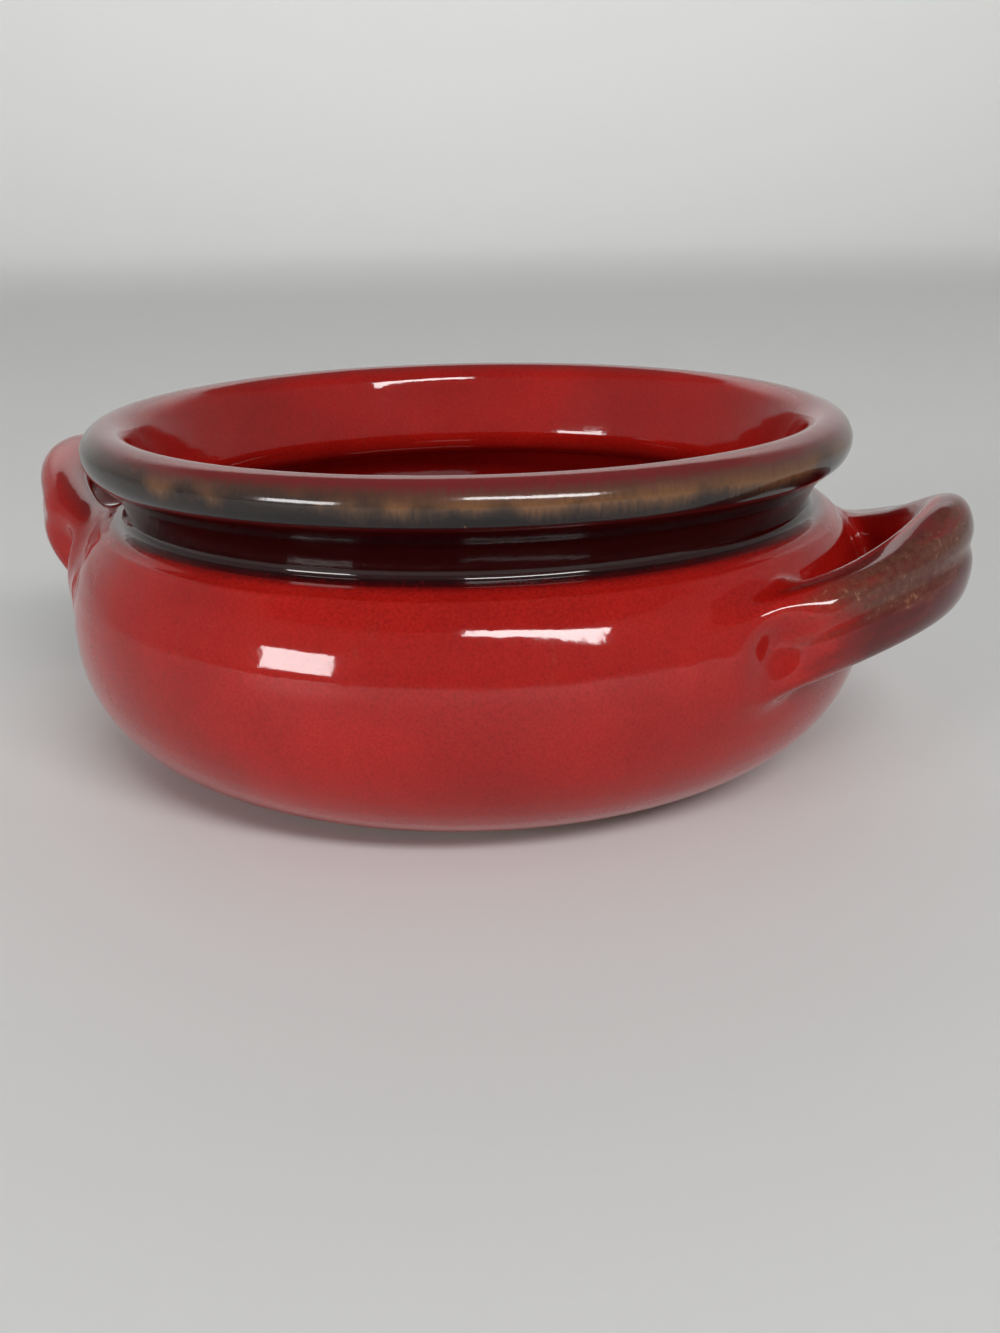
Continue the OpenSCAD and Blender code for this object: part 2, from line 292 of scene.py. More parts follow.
def thrownTree():
    # turns a section about z, and lets it waver as thrown clay does
    tree = bpy.data.node_groups.new("thrownClay", "GeometryNodeTree")
    for name, kind in (("Section", "Object"), ("Rows", "Int"), ("Circle", "Object"), ("Columns", "Int"),
                       ("Wobble", "Float"), ("Ring Depth", "Float"), ("Ring Pitch", "Float"),
                       ("Seed", "Float"), ("Finish", "Material")):
        tree.interface.new_socket(name=name, in_out="INPUT", socket_type="NodeSocket" + kind)
    tree.interface.new_socket(name="Clay", in_out="OUTPUT", socket_type="NodeSocketGeometry")
    make = nodeMaker(tree)
    given = make("NodeGroupInput").outputs
    grid = make("GeometryNodeMeshGrid", {
        "Size X": 1.0, "Size Y": 1.0, "Vertices X": given["Columns"], "Vertices Y": given["Rows"]})
    place = make("ShaderNodeSeparateXYZ", {0: make("GeometryNodeInputPosition").outputs[0]}).outputs

    def sampled(holder, axis, count):
        # the point of a chain that belongs to a row or column of the grid
        last = calc(make, "SUBTRACT", given[count], 1.0)
        index = calc(make, "ROUND", calc(make, "MULTIPLY", calc(make, "ADD", place[axis], 0.5), last))
        chain = make("GeometryNodeObjectInfo", {"Object": given[holder]}).outputs["Geometry"]
        return make("GeometryNodeSampleIndex", {
            "Geometry": chain, "Value": make("GeometryNodeInputPosition").outputs[0], "Index": index},
            data_type="FLOAT_VECTOR", domain="POINT").outputs[0]

    around = sampled("Circle", "X", "Columns")
    point = make("ShaderNodeSeparateXYZ", {0: sampled("Section", "Y", "Rows")}).outputs
    spread = make("ShaderNodeVectorMath", {0: around, "Scale": point["X"]}, operation="SCALE").outputs[0]
    lift = make("ShaderNodeCombineXYZ", {"Z": point["Z"]}).outputs[0]
    onClay = make("ShaderNodeVectorMath", {0: spread, 1: lift}).outputs[0]
    flowRound = make("ShaderNodeVectorMath", {0: around, "Scale": 0.1}, operation="SCALE").outputs[0]
    along = make("ShaderNodeCombineXYZ", {"Z": point["Y"]}).outputs[0]
    flow = make("ShaderNodeVectorMath", {0: flowRound, 1: along}).outputs[0]
    stored = make("GeometryNodeStoreNamedAttribute", {
        "Geometry": grid.outputs["Mesh"], "Name": "flow", "Value": flow},
        data_type="FLOAT_VECTOR", domain="POINT")
    turnedClay = make("GeometryNodeSetPosition", {"Geometry": stored.outputs[0], "Position": onClay})
    closed = make("GeometryNodeMergeByDistance", {"Geometry": turnedClay.outputs[0], "Distance": 0.02 * mm})
    # displacement along the surface's own direction: slow wobble, then the spiral of throwing rings
    read = make("GeometryNodeInputNamedAttribute", {"Name": "flow"}, data_type="FLOAT_VECTOR").outputs[0]
    slow = make("ShaderNodeTexNoise", {"Vector": read, "W": given["Seed"], "Scale": 9.0, "Detail": 1.0},
                noise_dimensions="4D").outputs[0]
    wander = calc(make, "MULTIPLY", calc(make, "SUBTRACT", slow, 0.78), given["Wobble"])
    rings = make("ShaderNodeSeparateXYZ", {0: read}).outputs
    spin = calc(make, "ARCTAN2", rings["Y"], rings["X"])
    wave = calc(make, "SINE", calc(make, "ADD", spin, calc(
        make, "MULTIPLY", calc(make, "DIVIDE", rings["Z"], given["Ring Pitch"]), math.tau)))
    fade = make("ShaderNodeTexNoise", {"Vector": read, "W": given["Seed"], "Scale": 24.0, "Detail": 2.0},
                noise_dimensions="4D").outputs[0]
    ripple = calc(make, "MULTIPLY", calc(make, "MULTIPLY", wave, given["Ring Depth"]), fade)
    offset = make("ShaderNodeVectorMath", {
        0: make("GeometryNodeInputNormal").outputs[0], "Scale": calc(make, "ADD", wander, ripple)},
        operation="SCALE").outputs[0]
    wavered = make("GeometryNodeSetPosition", {"Geometry": closed.outputs[0], "Offset": offset})
    smooth = make("GeometryNodeSetShadeSmooth", {"Geometry": wavered.outputs[0], "Shade Smooth": True})
    real = make("GeometryNodeRealizeInstances", {"Geometry": smooth.outputs[0]})
    painted = make("GeometryNodeSetMaterial", {"Geometry": real.outputs[0], "Material": given["Finish"]})
    make("NodeGroupOutput", {"Clay": painted.outputs[0]})
    return tree


def chainObject(name, points):
    mesh = bpy.data.meshes.new(name)
    mesh.from_pydata(points.tolist(), [(i, i + 1) for i in range(len(points) - 1)], [])
    holder = bpy.data.objects.new(name, mesh)
    scene.collection.objects.link(holder)
    return holder


def sectionChain(points):
    # x is the radius, z the height, and y the length along the section
    steps = np.linalg.norm(np.diff(points, axis=0), axis=1)
    along = np.concatenate(([0], np.cumsum(steps)))
    return np.stack((points[:, 0], along, points[:, 1]), 1) * mm


def throwPiece(tree, name, points, finish, wobble, ringDeep, seed):
    columns = turnColumns()
    section = chainObject(name + "Section", sectionChain(points))
    circle = chainObject(name + "Circle", np.stack((np.cos(columns), np.sin(columns), 0 * columns), 1))
    piece = bpy.data.objects.new(name, bpy.data.meshes.new(name))
    scene.collection.objects.link(piece)
    modifier = piece.modifiers.new("throw", "NODES")
    modifier.node_group = tree
    sockets = {item.name: item.identifier for item in tree.interface.items_tree if item.in_out == "INPUT"}
    values = {"Section": section, "Rows": len(points), "Circle": circle, "Columns": len(columns),
              "Wobble": wobble * mm, "Ring Depth": ringDeep * mm,
              "Ring Pitch": bowl["ringPitch"] * mm, "Seed": seed, "Finish": finish}
    for label, value in values.items():
        modifier[sockets[label]] = value
    evaluated = piece.evaluated_get(bpy.context.evaluated_depsgraph_get())
    mesh = bpy.data.meshes.new_from_object(evaluated)
    piece.modifiers.clear()
    piece.data = mesh
    mesh.name = name
    for holder in (section, circle):
        bpy.data.objects.remove(holder)
    return piece


def storeValues(mesh, name, values):
    layer = mesh.attributes.get(name) or mesh.attributes.new(name, "FLOAT", "POINT")
    layer.data.foreach_set("value", np.asarray(values, np.float32))


# Finishes
glazeLooks = {
    "red": (0.330, 0.0072, 0.0046),
    "redDeep": (0.255, 0.0048, 0.0034),
    "redLight": (0.390, 0.0115, 0.0075),
    "wine": (0.135, 0.0150, 0.0155),
    "lip": (0.205, 0.0130, 0.0110),
    "bronze": (0.158, 0.0700, 0.0270),
    "umber": (0.078, 0.0380, 0.0200),
    "ink": (0.0075, 0.0055, 0.0060),
    "pooled": (0.0180, 0.0016, 0.0017),
    "edge": (0.0055, 0.0022, 0.0034),
    "neck": (0.0150, 0.0012, 0.0013),
    # painted shade for the inside of the bowl, strongest at its floor
    "insideShade": (0.10, 0.0015, 0.0015),
    "tan": (0.260, 0.1350, 0.0750),
    "thinDark": (0.060, 0.0140, 0.0110),
    "thinBrown": (0.072, 0.0300, 0.0180),
    "thinWarm": (0.100, 0.0420, 0.0260),
    "underDark": (0.030, 0.0028, 0.0028),
    "underRed": (0.095, 0.0042, 0.0040),
    "rimDark": (0.030, 0.0180, 0.0130),
    "rimBrown": (0.120, 0.0500, 0.0240),
    "rimRust": (0.100, 0.0320, 0.0230),
    "dullDark": (0.024, 0.0150, 0.0120),
    "dullBrown": (0.060, 0.0260, 0.0180),
}


def rampOf(make, factor, stops):
    node = make("ShaderNodeValToRGB", {0: factor})
    ramp = node.color_ramp
    while len(ramp.elements) < len(stops):
        ramp.elements.new(0.5)
    for element, (position, colour) in zip(ramp.elements, stops):
        element.position = position
        element.color = (*colour, 1)
    return node.outputs[0]


def blendOf(make, factor, a, b, mode="MIX"):
    node = make("ShaderNodeMix", data_type="RGBA", blend_type=mode)
    tree = node.id_data
    for key, value in (("Factor_Float", factor), ("A_Color", a), ("B_Color", b)):
        socket = next(s for s in node.inputs if s.identifier == key)
        if isinstance(value, bpy.types.NodeSocket):
            tree.links.new(value, socket)
        else:
            socket.default_value = value if key == "Factor_Float" else (*value, 1)
    return next(s for s in node.outputs if s.identifier == "Result_Color")


def noiseOf(make, where, scale, detail=2.0, roughness=0.5):
    return make("ShaderNodeTexNoise", {
        "Vector": where, "Scale": scale, "Detail": detail, "Roughness": roughness}).outputs[0]


def rangeOf(make, value, low, high, toLow=0.0, toHigh=1.0):
    return make("ShaderNodeMapRange", {
        0: value, 1: low, 2: high, 3: toLow, 4: toHigh}, interpolation_type="SMOOTHSTEP").outputs[0]


def attributeOf(make, name, output="Fac"):
    return make("ShaderNodeAttribute", attribute_name=name).outputs[output]


def glazeMaterial():
    material = bpy.data.materials.new("redGlaze")
    material.use_nodes = True
    tree = material.node_tree
    tree.nodes.clear()
    make = nodeMaker(tree)
    looks = glazeLooks
    spot = make("ShaderNodeTexCoord").outputs["Object"]
    flow = attributeOf(make, "flow", "Vector")
    # red body colour: fine speckle inside slow clouds
    speckle = noiseOf(make, spot, 1500, 3, 0.6)
    red = rampOf(make, speckle, [(0.30, looks["redDeep"]), (0.50, looks["red"]), (0.74, looks["redLight"])])
    cloud = rangeOf(make, noiseOf(make, spot, 34, 3), 0.3, 0.7, 0.86, 1.08)
    shade = make("ShaderNodeCombineColor", {0: cloud, 1: cloud, 2: cloud}).outputs[0]
    colour = blendOf(make, 1.0, red, shade, "MULTIPLY")
    # painted shade: darker red deeper down inside the bowl, towards its floor
    bead = attributeOf(make, "bead")
    colour = blendOf(make, rangeOf(make, bead, 2.6, 3.3, 0.0, 0.5), colour, looks["insideShade"])
    # where the glaze runs thin over the straps: wine along the top, flecked brown below it, then dark red
    fleck = noiseOf(make, spot, 620, 4, 0.7)
    drift = noiseOf(make, make("ShaderNodeMapping", {
        "Vector": flow, "Scale": (1.0, 1.0, 0.35)}).outputs[0], 170, 4, 0.6)
    thin = attributeOf(make, "thin")
    wander = calc(make, "SUBTRACT", drift, 0.5)
    thinned = rangeOf(make, calc(make, "ADD", thin, calc(make, "MULTIPLY", wander, 1.3)), 0.12, 0.95)
    brown = rampOf(make, calc(make, "ADD", calc(make, "MULTIPLY", fleck, 0.6), calc(
        make, "MULTIPLY", drift, 0.4)), [
        (0.38, looks["thinDark"]), (0.49, looks["thinBrown"]), (0.58, looks["thinWarm"]),
        (0.66, looks["tan"])])
    under = rampOf(make, drift, [(0.34, looks["underDark"]), (0.66, looks["underRed"])])
    height = calc(make, "ADD", attributeOf(make, "strapUp"), calc(make, "MULTIPLY", wander, 1.2))
    broken = blendOf(make, rangeOf(make, height, -0.30, 0.25), under, brown)
    broken = blendOf(make, rangeOf(make, height, 0.80, 1.0, 0.0, 0.85), broken, looks["wine"])
    colour = blendOf(make, calc(make, "MULTIPLY", thinned, 0.92), colour, broken)
    # rolled rim: ink below, streaked bronze on the face, most of it towards the right handle, wine above
    streakPlace = make("ShaderNodeMapping", {"Vector": flow, "Scale": (1.0, 1.0, 0.14)}).outputs[0]
    streak = noiseOf(make, streakPlace, 1250, 4, 0.6)
    facing = make("ShaderNodeVectorMath", {0: flow, 1: (9.4, -3.4, 0.0)}, operation="DOT_PRODUCT")
    facing = facing.outputs["Value"]
    patch = calc(make, "ADD", noiseOf(make, flow, 44, 4), rangeOf(make, facing, 0.62, 0.95, 0.0, 0.13))
    patch = calc(make, "SUBTRACT", patch, rangeOf(make, facing, 0.05, -0.40, 0.0, 0.32))
    shift = calc(make, "ADD", calc(make, "MULTIPLY", calc(make, "SUBTRACT", streak, 0.5), 0.36),
                 calc(make, "MULTIPLY", calc(make, "SUBTRACT", patch, 0.55), 0.4))
    angle = make("ShaderNodeMapRange", {0: calc(make, "ADD", bead, shift), 1: -0.5, 2: 1.5}).outputs[0]
    face = rampOf(make, angle, [
        (0.06, looks["ink"]), (0.15, looks["rimDark"]), (0.22, looks["umber"]), (0.29, looks["bronze"]),
        (0.37, looks["rimBrown"]), (0.45, looks["rimRust"]), (0.54, looks["wine"]), (0.72, looks["lip"])])
    dull = rampOf(make, angle, [
        (0.10, looks["ink"]), (0.28, looks["dullDark"]), (0.42, looks["dullBrown"]),
        (0.54, looks["wine"]), (0.72, looks["lip"])])
    face = blendOf(make, rangeOf(make, patch, 0.44, 0.60), dull, face)
    onRim = calc(make, "MULTIPLY", rangeOf(make, bead, -1.30, -0.90), rangeOf(make, calc(
        make, "ADD", bead, shift), 1.55, 0.95))
    colour = blendOf(make, onRim, colour, face)
    # dark glaze pooled in the neck, blackest along its fuzzy lower edge
    pool = attributeOf(make, "pool")
    fuzz = calc(make, "ADD", pool, calc(make, "MULTIPLY", calc(make, "SUBTRACT", noiseOf(
        make, spot, 900, 4, 0.7), 0.5), 4.4))
    depth = rampOf(make, make("ShaderNodeMapRange", {0: pool, 1: 0.0, 2: 5.0}).outputs[0], [
        (0.10, looks["edge"]), (0.55, looks["pooled"]), (1.0, looks["neck"])])
    colour = blendOf(make, rangeOf(make, fuzz, -4.8, 1.9), colour, depth)
    # pinholes: few, pale and sharp
    pin = make("ShaderNodeTexVoronoi", {"Vector": spot, "Scale": 95.0}, feature="F1")
    keep = make("ShaderNodeSeparateColor", {0: pin.outputs["Color"]}).outputs[0]
    hole = calc(make, "MULTIPLY", rangeOf(make, pin.outputs["Distance"], 0.036, 0.020),
                rangeOf(make, keep, 0.86, 0.88))
    colour = blendOf(make, calc(make, "MULTIPLY", hole, 0.55), colour, looks["tan"])
    # surface: slow waves, fine orange peel and the pits
    waves = noiseOf(make, spot, 150, 2)
    peel = noiseOf(make, spot, 640, 2)
    relief = calc(make, "ADD", calc(make, "MULTIPLY", waves, 0.75), calc(make, "MULTIPLY", peel, 0.12))
    relief = calc(make, "SUBTRACT", relief, calc(make, "MULTIPLY", hole, 0.6))
    bump = make("ShaderNodeBump", {"Strength": 0.8, "Distance": 0.12 * mm, "Height": relief})
    rough = calc(make, "ADD", rangeOf(make, fleck, 0.3, 0.7, 0.045, 0.085),
                 calc(make, "MULTIPLY", onRim, 0.05))
    shader = make("ShaderNodeBsdfPrincipled", {
        "Base Color": colour, "Roughness": rough, "IOR": 1.48, "Normal": bump.outputs[0]})
    make("ShaderNodeOutputMaterial", {"Surface": shader.outputs[0]})
    return material


clayLooks = {
    "dark": (0.27, 0.105, 0.048),
    "fired": (0.42, 0.175, 0.082),
    "pale": (0.56, 0.270, 0.140),
    "grog": (0.13, 0.055, 0.035),
}


def clayMaterial():
    material = bpy.data.materials.new("bareClay")
    material.use_nodes = True
    tree = material.node_tree
    tree.nodes.clear()
    make = nodeMaker(tree)
    spot = make("ShaderNodeTexCoord").outputs["Object"]
    grain = noiseOf(make, spot, 900, 4, 0.7)
    blotch = noiseOf(make, spot, 45, 3)
    clay = rampOf(make, calc(make, "ADD", calc(make, "MULTIPLY", grain, 0.6), calc(
        make, "MULTIPLY", blotch, 0.4)), [
        (0.36, clayLooks["dark"]), (0.50, clayLooks["fired"]), (0.66, clayLooks["pale"])])
    grog = make("ShaderNodeTexVoronoi", {"Vector": spot, "Scale": 420.0}, feature="F1")
    tint = make("ShaderNodeSeparateColor", {0: grog.outputs["Color"]}).outputs[0]
    chip = calc(make, "MULTIPLY", rangeOf(make, grog.outputs["Distance"], 0.30, 0.18),
                rangeOf(make, tint, 0.80, 0.84))
    clay = blendOf(make, calc(make, "MULTIPLY", chip, 0.6), clay, clayLooks["grog"])
    relief = calc(make, "SUBTRACT", grain, calc(make, "MULTIPLY", chip, 0.4))
    bump = make("ShaderNodeBump", {"Strength": 0.6, "Distance": 0.25 * mm, "Height": relief})
    shader = make("ShaderNodeBsdfPrincipled", {
        "Base Color": clay, "Roughness": rangeOf(make, grain, 0.3, 0.7, 0.78, 0.92),
        "Normal": bump.outputs[0]})
    make("ShaderNodeOutputMaterial", {"Surface": shader.outputs[0]})
    return material


glaze = glazeMaterial()
bareClay = clayMaterial()
print("finishes made")


def markBowl(mesh, points, bead, pool):
    # gives each vertex the marks of its place along the section, for the shader
    flow = np.zeros(len(mesh.vertices) * 3)
    mesh.attributes["flow"].data.foreach_get("vector", flow)
    length = flow.reshape(-1, 3)[:, 2]
    along = sectionChain(points)[:, 1]
    storeValues(mesh, "bead", np.interp(length, along, bead))
    storeValues(mesh, "pool", np.interp(length, along, pool))
    storeValues(mesh, "thin", np.zeros(len(length)))
    storeValues(mesh, "strapUp", np.zeros(len(length)))


thrown = thrownTree()
section, beadMarks, poolMarks = bowlSection()
glazedBowl = throwPiece(thrown, "glazedBowl", section, glaze, bowl["wobble"], bowl["ringDeep"], 3.0)
markBowl(glazedBowl.data, section, beadMarks, poolMarks)
bareFoot = throwPiece(thrown, "bareFoot", footSection(), bareClay, 0.0, 0.0, 3.0)
print("bowl thrown:", len(glazedBowl.data.polygons), "faces")


# Handles: one pulled strap each, sizes in mm as the solids have them
strap = {
    "reach": 19.5,
    "gripLift": 21.6,
    "footLift": 5.2,
    "halfSpan": 38.0,
    "endDepth": 8.0,
    "gripThick": 13.6,
    "gripTall": 26.4,
    "footThick": 12.0,
    "footTall": 25.0,
    "waist": 1.6,
    "lateRise": 1.3,
    "fullness": 2.4,
    "armCut": 0.16,         # lower crown along the arm where t is below 0
    "lean": 3.0,
    "armLean": 7.0,
    "tongueFrom": 0.6,
    "tongueEnd": 0.42,
    "thumbAt": 25.5,
    "thumbDeep": 4.2,
    "thumbWide": 8.5,
    "thumbTall": 9.5,
    "thumbTail": 1.5,       # how much further the dish runs out below
    "thumbRidge": 1.6,
    "grooveAt": 1.5,        # above the strap's middle
    "grooveHalf": 2.6,
    "shrink": 0.35,         # keeps the lumps inside the solids' outline
    "hugTop": 63.0,         # height up to which the feet follow the wall
    "rings": 230,
    "sides": 112,
    "fillet": 5.5,          # reach of the smoothed joint along strap and wall
    "buried": 2.4,          # depth at which the strap's hidden ends lie in the wall
    "sunk": 0.05,           # how far the bowl's skin lies under the strap's at the joint
}
# What the hand made different: seed of the lumps, share of thin glaze, and in mm the lift of the whole
# strap, of its grip, of its arm where t is above 0 and of its half height; then how much thicker the top
# is, the share of its height kept below the middle, the depth of the groove along it, how square the
# arms' upper corners are, and the strength of the lumps
handMarks = {
    "rightHandle": {
        "side": 1, "seed": 11, "thin": 1.0, "raised": 0.0, "gripRaised": -0.6, "armRaised": 0.5,
        "taller": 0.4, "topHeavy": 0.15, "lower": 1.0, "groove": 0.8, "armSquare": 1.4, "lumpy": 0.4},
    "leftHandle": {
        "side": -1, "seed": 27, "thin": 0.12, "raised": 3.0, "gripRaised": -0.8, "armRaised": 5.0,
        "taller": -1.2, "topHeavy": 0.28, "lower": 0.86, "groove": 1.0, "armSquare": -0.2, "lumpy": 1.0},
}


def wallRadius(height):
    below = 1 - np.clip((bowl["bellyHeight"] - height) / -lowerSize[1], 0, 1) ** bowl["lowerFullness"]
    above = 1 - np.clip((height - bowl["bellyHeight"]) / shoulderSize[1], 0, 1) ** bowl["shoulderFullness"]
    return np.where(height < bowl["bellyHeight"],
                    lowerMid[0] + lowerSize[0] * below ** (1 / bowl["lowerFullness"]),
                    shoulderMid[0] + shoulderSize[0] * above ** (1 / bowl["shoulderFullness"]))


def strapLine(t, out):
    # plan of the strap's middle, pushed out by a distance
    endRadius = bowl["bellyRadius"] - strap["endDepth"]
    gripRadius = bowl["bellyRadius"] + strap["reach"]
    radius = endRadius + (gripRadius - endRadius) * np.cos(math.pi / 2 * t) ** 2 + out
    angle = np.radians(strap["halfSpan"]) * t
    return np.stack((radius * np.cos(angle), radius * np.sin(angle)), -1)


def rounded(q, fullness):
    # a round section filled out towards its corners, across and up
    reach = (np.abs(np.cos(q)) ** fullness + np.abs(np.sin(q)) ** fullness) ** (-1 / fullness)
    return reach * np.cos(q), reach * np.sin(q)


def strapPoints(t, q, made):
    lumps = handLumps(made["seed"])
    lift = np.cos(math.pi / 2 * t) ** 2
    halfThick = (strap["footThick"] + (strap["gripThick"] - strap["footThick"]) * lift) / 2
    ended = np.clip((np.abs(t) - strap["tongueFrom"]) / (1 - strap["tongueFrom"]), 0, 1)
    tongue = np.sqrt(1 - (1 - strap["tongueEnd"] ** 2) * ended ** 2)
    halfTall = (strap["footTall"] + (strap["gripTall"] - strap["footTall"]) * lift) / 2
    halfTall = (halfTall - 4 * strap["waist"] * lift * (1 - lift)) * tongue + made["taller"] * lift
    arm = lift ** 3 * (1 - lift) / 0.1055 * np.where(t < 0, 1, 0.3)     # 1 at its peak, partway out
    squared = np.where(np.sin(q) > 0, made["armSquare"] * smoothStep(1.0, 0.7, lift), 0)
    across, up = rounded(q, strap["fullness"] + squared)
    outer = np.maximum(0, np.cos(q))
    v = (halfTall + glazeDeep) * up * np.where(up < 0, made["lower"], 1 - strap["armCut"] * arm)
    along = (np.abs(strap["halfSpan"] * t) - strap["thumbAt"]) * bowl["bellyRadius"] * math.pi / 180
    tall = strap["thumbTall"] * np.where(v < 0, strap["thumbTail"], 1)
    dish = (along / strap["thumbWide"]) ** 2 + (v / tall) ** 2
    press = strap["thumbDeep"] * (1 - strap["thumbRidge"] * dish) * np.exp(-dish)
    u = (halfThick * (1 + made["topHeavy"] * up) + glazeDeep) * across
    u -= press * outer
    groove = np.exp(-((v - strap["grooveAt"]) / strap["grooveHalf"]) ** 2)
    u -= made["groove"] * smoothStep(0.2, 0.7, lift) * groove * outer
    u += (made["lumpy"] * lumps(t, q) - strap["shrink"]) * np.cos(q)
    v += (made["lumpy"] * lumps(t + 3.1, q) - strap["shrink"]) * np.sin(q)
    lean = np.radians((strap["lean"] + 4 * strap["armLean"] * (1 - lift)) * lift)
    footHeight = bowl["bellyHeight"] + strap["footLift"]
    rise = strap["gripLift"] - strap["footLift"]
    mid = footHeight + rise * lift ** strap["lateRise"] + made["raised"] + made["gripRaised"] * lift
    mid += made["armRaised"] * np.exp(-((t - 0.45) / 0.36) ** 2)
    z = mid + v * np.cos(lean) + u * np.sin(lean)
    hug = (1 - lift) ** 3 * (wallRadius(np.minimum(z, strap["hugTop"])) - wallRadius(mid))
    step = 0.01
    ahead = strapLine(t + step, 0) - strapLine(t - step, 0)
    ahead /= np.linalg.norm(ahead, axis=-1)[..., None]
    sideways = np.stack((ahead[..., 1], -ahead[..., 0]), -1)
    plan = strapLine(t, hug) + (u * np.cos(lean) - v * np.sin(lean))[..., None] * sideways
    return np.concatenate((plan, z[..., None]), -1)


def makeSkin(mesh, keep=None):
    # a search tree over a skin's faces, with their corners and smooth directions
    faces = [tuple(p.vertices) for p in mesh.polygons if keep is None or keep(p.center / mm)]
    corners = [v.co.copy() for v in mesh.vertices]
    facing = [v.normal.copy() for v in mesh.vertices]
    return BVHTree.FromPolygons(corners, faces), faces, corners, facing


def onOutside(spot):
    radius = math.hypot(spot.x, spot.y)
    inner = bowl["skinRadius"] if spot.z > bowl["skinTop"] else float(wallRadius(spot.z)) - 2
    return radius > inner


def fromSkin(skin, spot):
    # signed distance from a skin, and the smooth direction away from it
    tree, faces, corners, facing = skin
    place, _, index, far = tree.find_nearest(spot)
    face = faces[index]
    out = Vector()
    for i, share in zip(face, poly_3d_calc([corners[i] for i in face], place)):
        out += facing[i] * share
    return (far if (spot - place).dot(out) >= 0 else -far), out.normalized()


def easedSpot(spot, own, other, reach, sink):
    # walks onto the surface that joins two skins with a hollow, and dives below it past the middle
    for _ in range(12):
        near, nearOut = fromSkin(own, spot)
        far, farOut = fromSkin(other, spot)
        overlap = max(reach - abs(far - near), 0)
        share = overlap / (2 * reach)
        past = max((near - far) / reach - 0.15, 0)
        level = min(near, far) - overlap * share / 2 + min(4 * past * past, 1) * mm + 2 * share * sink
        slope = nearOut.lerp(farOut, share if near < far else 1 - share)
        step = slope * (level / max(slope.length_squared, 0.25))
        if step.length > mm:
            step *= mm / step.length
        spot = spot - step
        if abs(level) < 0.001 * mm:
            break
    return spot, slope.normalized()


def easeJoint(mesh, own, other, hidden, keep=None, buried=None, sink=0.0):
    # draws the skin near the other one into their joint, or just under it, keeps what is hidden inside
    # it low, and gives the directions that the joint's own surface faces
    reach = strap["fillet"] * mm
    moved = []
    for vertex in mesh.vertices:
        if keep and not keep(vertex.co / mm):
            continue
        if other[0].find_nearest(vertex.co, 16 * mm)[0] is None:
            continue
        far, away = fromSkin(other, vertex.co)
        if -hidden * mm <= far < reach:
            moved.append((vertex, *easedSpot(vertex.co.copy(), own, other, reach, sink * mm)))
        elif buried and far < -buried * mm:
            moved.append((vertex, vertex.co - away * (far + buried * mm), None))
    for vertex, spot, _ in moved:
        vertex.co = spot
    mesh.update()
    return {vertex.index: out for vertex, _, out in moved if out}


def shadeJoint(mesh, facing):
    directions = [facing.get(v.index, v.normal).copy() for v in mesh.vertices]
    mesh.normals_split_custom_set_from_vertices(directions)


def handLumps(seed):
    # slow lumps left by the hand, in mm
    rng = np.random.default_rng(seed)
    waves = [(rng.uniform(1.5, 5), rng.integers(0, 4), rng.uniform(0, math.tau), rng.uniform(0.05, 0.16))
             for _ in range(9)]

    def lumps(t, q):
        return sum(deep * np.sin(freq * t + turns * q + phase) for freq, turns, phase, deep in waves)
    return lumps


def makeHandle(name):
    made = handMarks[name]
    side, rings, sides = made["side"], strap["rings"], strap["sides"]
    t = np.linspace(-1, 1, rings)[:, None] * np.ones(sides)
    q = np.ones(rings)[:, None] * np.linspace(0, math.tau, sides, endpoint=False)
    points = strapPoints(t, q, made) * (side, side, 1)
    at = lambda i, j: i * sides + j % sides
    faces = [(at(i, j), at(i + 1, j), at(i + 1, j + 1), at(i, j + 1))
             for i in range(rings - 1) for j in range(sides)]
    faces += [tuple(range(sides)), tuple(at(rings - 1, j) for j in reversed(range(sides)))]
    mesh = bpy.data.meshes.new(name)
    mesh.from_pydata((points.reshape(-1, 3) * mm).tolist(), [], faces)
    mesh.shade_smooth()
    mesh.materials.append(glaze)
    flow = mesh.attributes.new("flow", "FLOAT_VECTOR", "POINT")
    around = 0.013
    lengthwise = np.stack((0.2 * side + around * np.cos(q), around * np.sin(q), 0.085 * t), -1)
    flow.data.foreach_set("vector", lengthwise.astype(np.float32).ravel())
    lift = np.cos(math.pi / 2 * t) ** 2
    outward = smoothStep(-0.5, 0.15, np.cos(q))
    storeValues(mesh, "thin", (made["thin"] * outward * smoothStep(0.10, 0.80, lift)).ravel())
    storeValues(mesh, "strapUp", np.sin(q).ravel())
    storeValues(mesh, "bead", np.full(rings * sides, -2.6))
    storeValues(mesh, "pool", np.full(rings * sides, -50.0))
    piece = bpy.data.objects.new(name, mesh)
    scene.collection.objects.link(piece)
    return piece


rightHandle = makeHandle("rightHandle")
leftHandle = makeHandle("leftHandle")
bowlSkin = makeSkin(glazedBowl.data, onOutside)
bowlFacing = {}
for piece in (rightHandle, leftHandle):
    skin = makeSkin(piece.data)
    hidden = strap["buried"]
    shadeJoint(piece.data, easeJoint(piece.data, skin, bowlSkin, hidden, buried=hidden))
    bowlFacing.update(easeJoint(glazedBowl.data, bowlSkin, skin, hidden, keep=onOutside, sink=strap["sunk"]))
shadeJoint(glazedBowl.data, bowlFacing)
print("handles pulled and joined")


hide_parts("outside_glaze", "rim_glaze", "inside_glaze")
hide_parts("body")
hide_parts("right_handle", "right_handle_glaze", "right_front_slip", "right_back_slip")
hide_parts("left_handle", "left_handle_glaze", "left_front_slip", "left_back_slip")
for piece in (glazedBowl, bareFoot, rightHandle, leftHandle):
    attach(piece, "root")


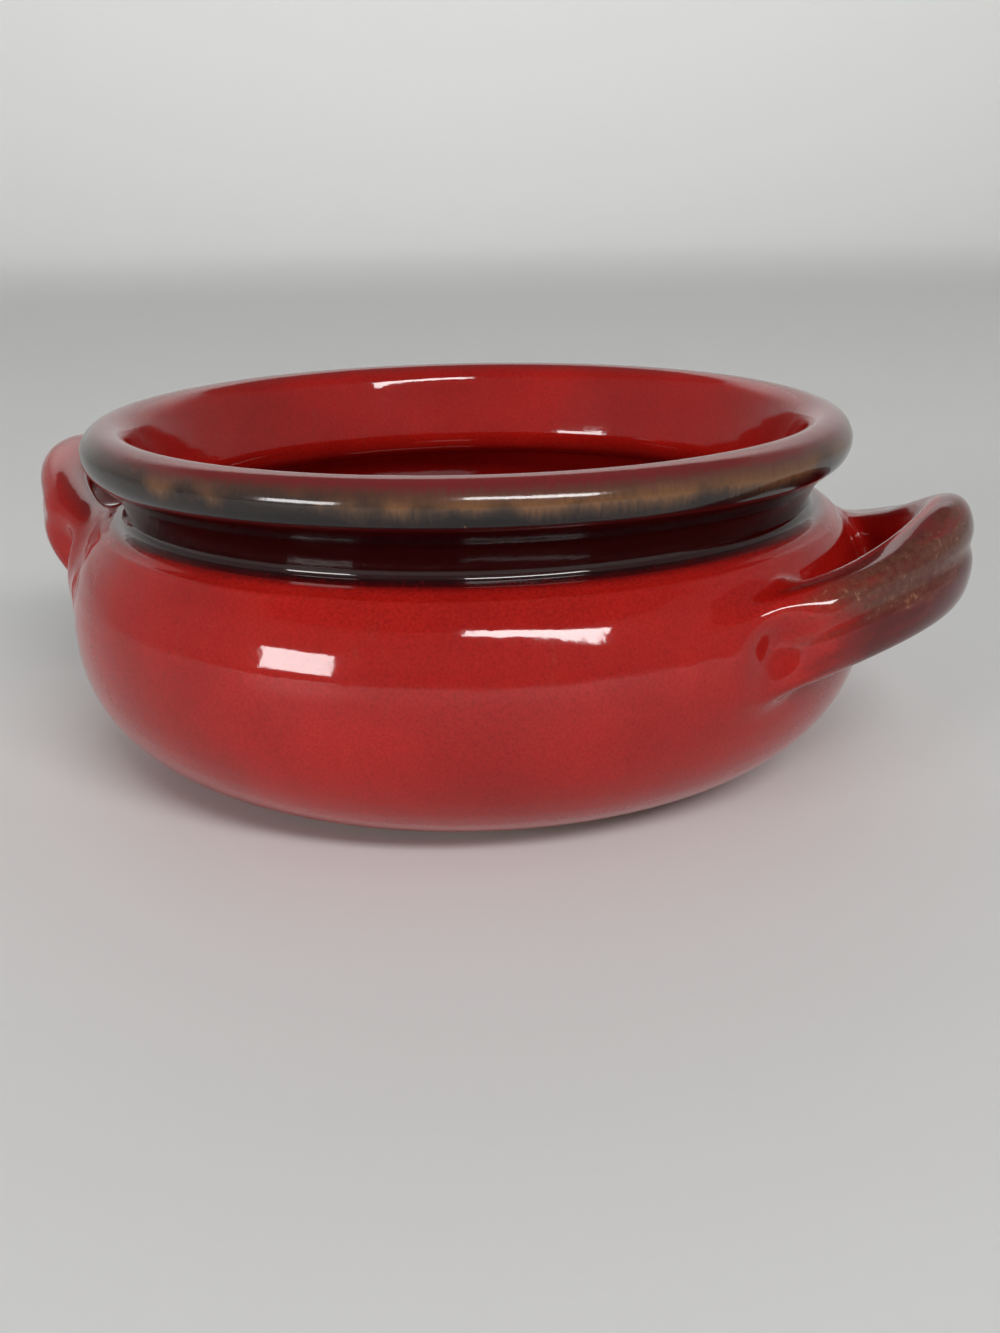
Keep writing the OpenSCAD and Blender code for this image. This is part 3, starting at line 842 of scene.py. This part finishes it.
# Stage and light: places in mm beside the viewpoint
studio = {
    "floorRadius": 2700.0,
    "cove": 1300.0,
    "wallTop": 3600.0,
    "floorColour": (0.76, 0.76, 0.75),
    "floorRough": 0.7,
    "sky": 0.16,
    "skyColour": (0.95, 0.98, 1.0),
}
lamps = (
    # name, one end, the other end, breadth, aim, watts
    ("stripLamp", (-72, -2190, 1930), (1558, -1968, 1460), 420, (0, -90, 60), 46.0),
    ("windowLamp", (-2215, -1387, 640), (-1580, -2095, 640), 480, (0, -90, 55), 24.0),
    ("backdropLamp", (-1900, 2500, 3000), (1900, 2500, 3000), 900, (0, 4000, 2500), 60.0),
)


def makeStage():
    bend = np.radians(np.linspace(0, 90, 19))
    outline = [(0.0, 0.0)]
    outline += [(studio["floorRadius"] + studio["cove"] * math.sin(a), studio["cove"] * (1 - math.cos(a)))
                for a in bend]
    outline += [(studio["floorRadius"] + studio["cove"], studio["wallTop"])]
    turns = 96
    points, faces = [], []
    for r, z in outline:
        points += [(r * mm * math.cos(a), r * mm * math.sin(a), z * mm)
                   for a in np.linspace(0, math.tau, turns, endpoint=False)]
    for i in range(len(outline) - 1):
        faces += [(i * turns + j, i * turns + (j + 1) % turns, (i + 1) * turns + (j + 1) % turns,
                   (i + 1) * turns + j) for j in range(turns)]
    mesh = bpy.data.meshes.new("studioFloor")
    mesh.from_pydata(points, [], faces)
    mesh.shade_smooth()
    material = bpy.data.materials.new("paleFloor")
    material.use_nodes = True
    shader = material.node_tree.nodes["Principled BSDF"]
    shader.inputs["Base Color"].default_value = (*studio["floorColour"], 1)
    shader.inputs["Roughness"].default_value = studio["floorRough"]
    mesh.materials.append(material)
    floor = bpy.data.objects.new("studioFloor", mesh)
    scene.collection.objects.link(floor)


def makeLights():
    for name, start, finish, breadth, aim, watts in lamps:
        start, finish, aim = turned(*start), turned(*finish), turned(*aim)
        middle = (start + finish) / 2
        along = (finish - start).normalized()
        back = middle - aim
        back = (back - back.dot(along) * along).normalized()
        data = bpy.data.lights.new(name, "AREA")
        data.shape = "RECTANGLE"
        data.size, data.size_y, data.energy = (finish - start).length, breadth * mm, watts
        lamp = bpy.data.objects.new(name, data)
        lamp.matrix_world = Matrix.Translation(middle) @ Matrix(
            (along, back.cross(along), back)).transposed().to_4x4()
        lamp.visible_camera = False
        scene.collection.objects.link(lamp)
    world = bpy.data.worlds.new("softRoom")
    world.use_nodes = True
    scene.world = world
    sky = world.node_tree.nodes["Background"]
    sky.inputs["Color"].default_value = (*studio["skyColour"], 1)
    sky.inputs["Strength"].default_value = studio["sky"]


makeStage()
makeLights()
scene.view_settings.view_transform = "Standard"
print("stage lit")
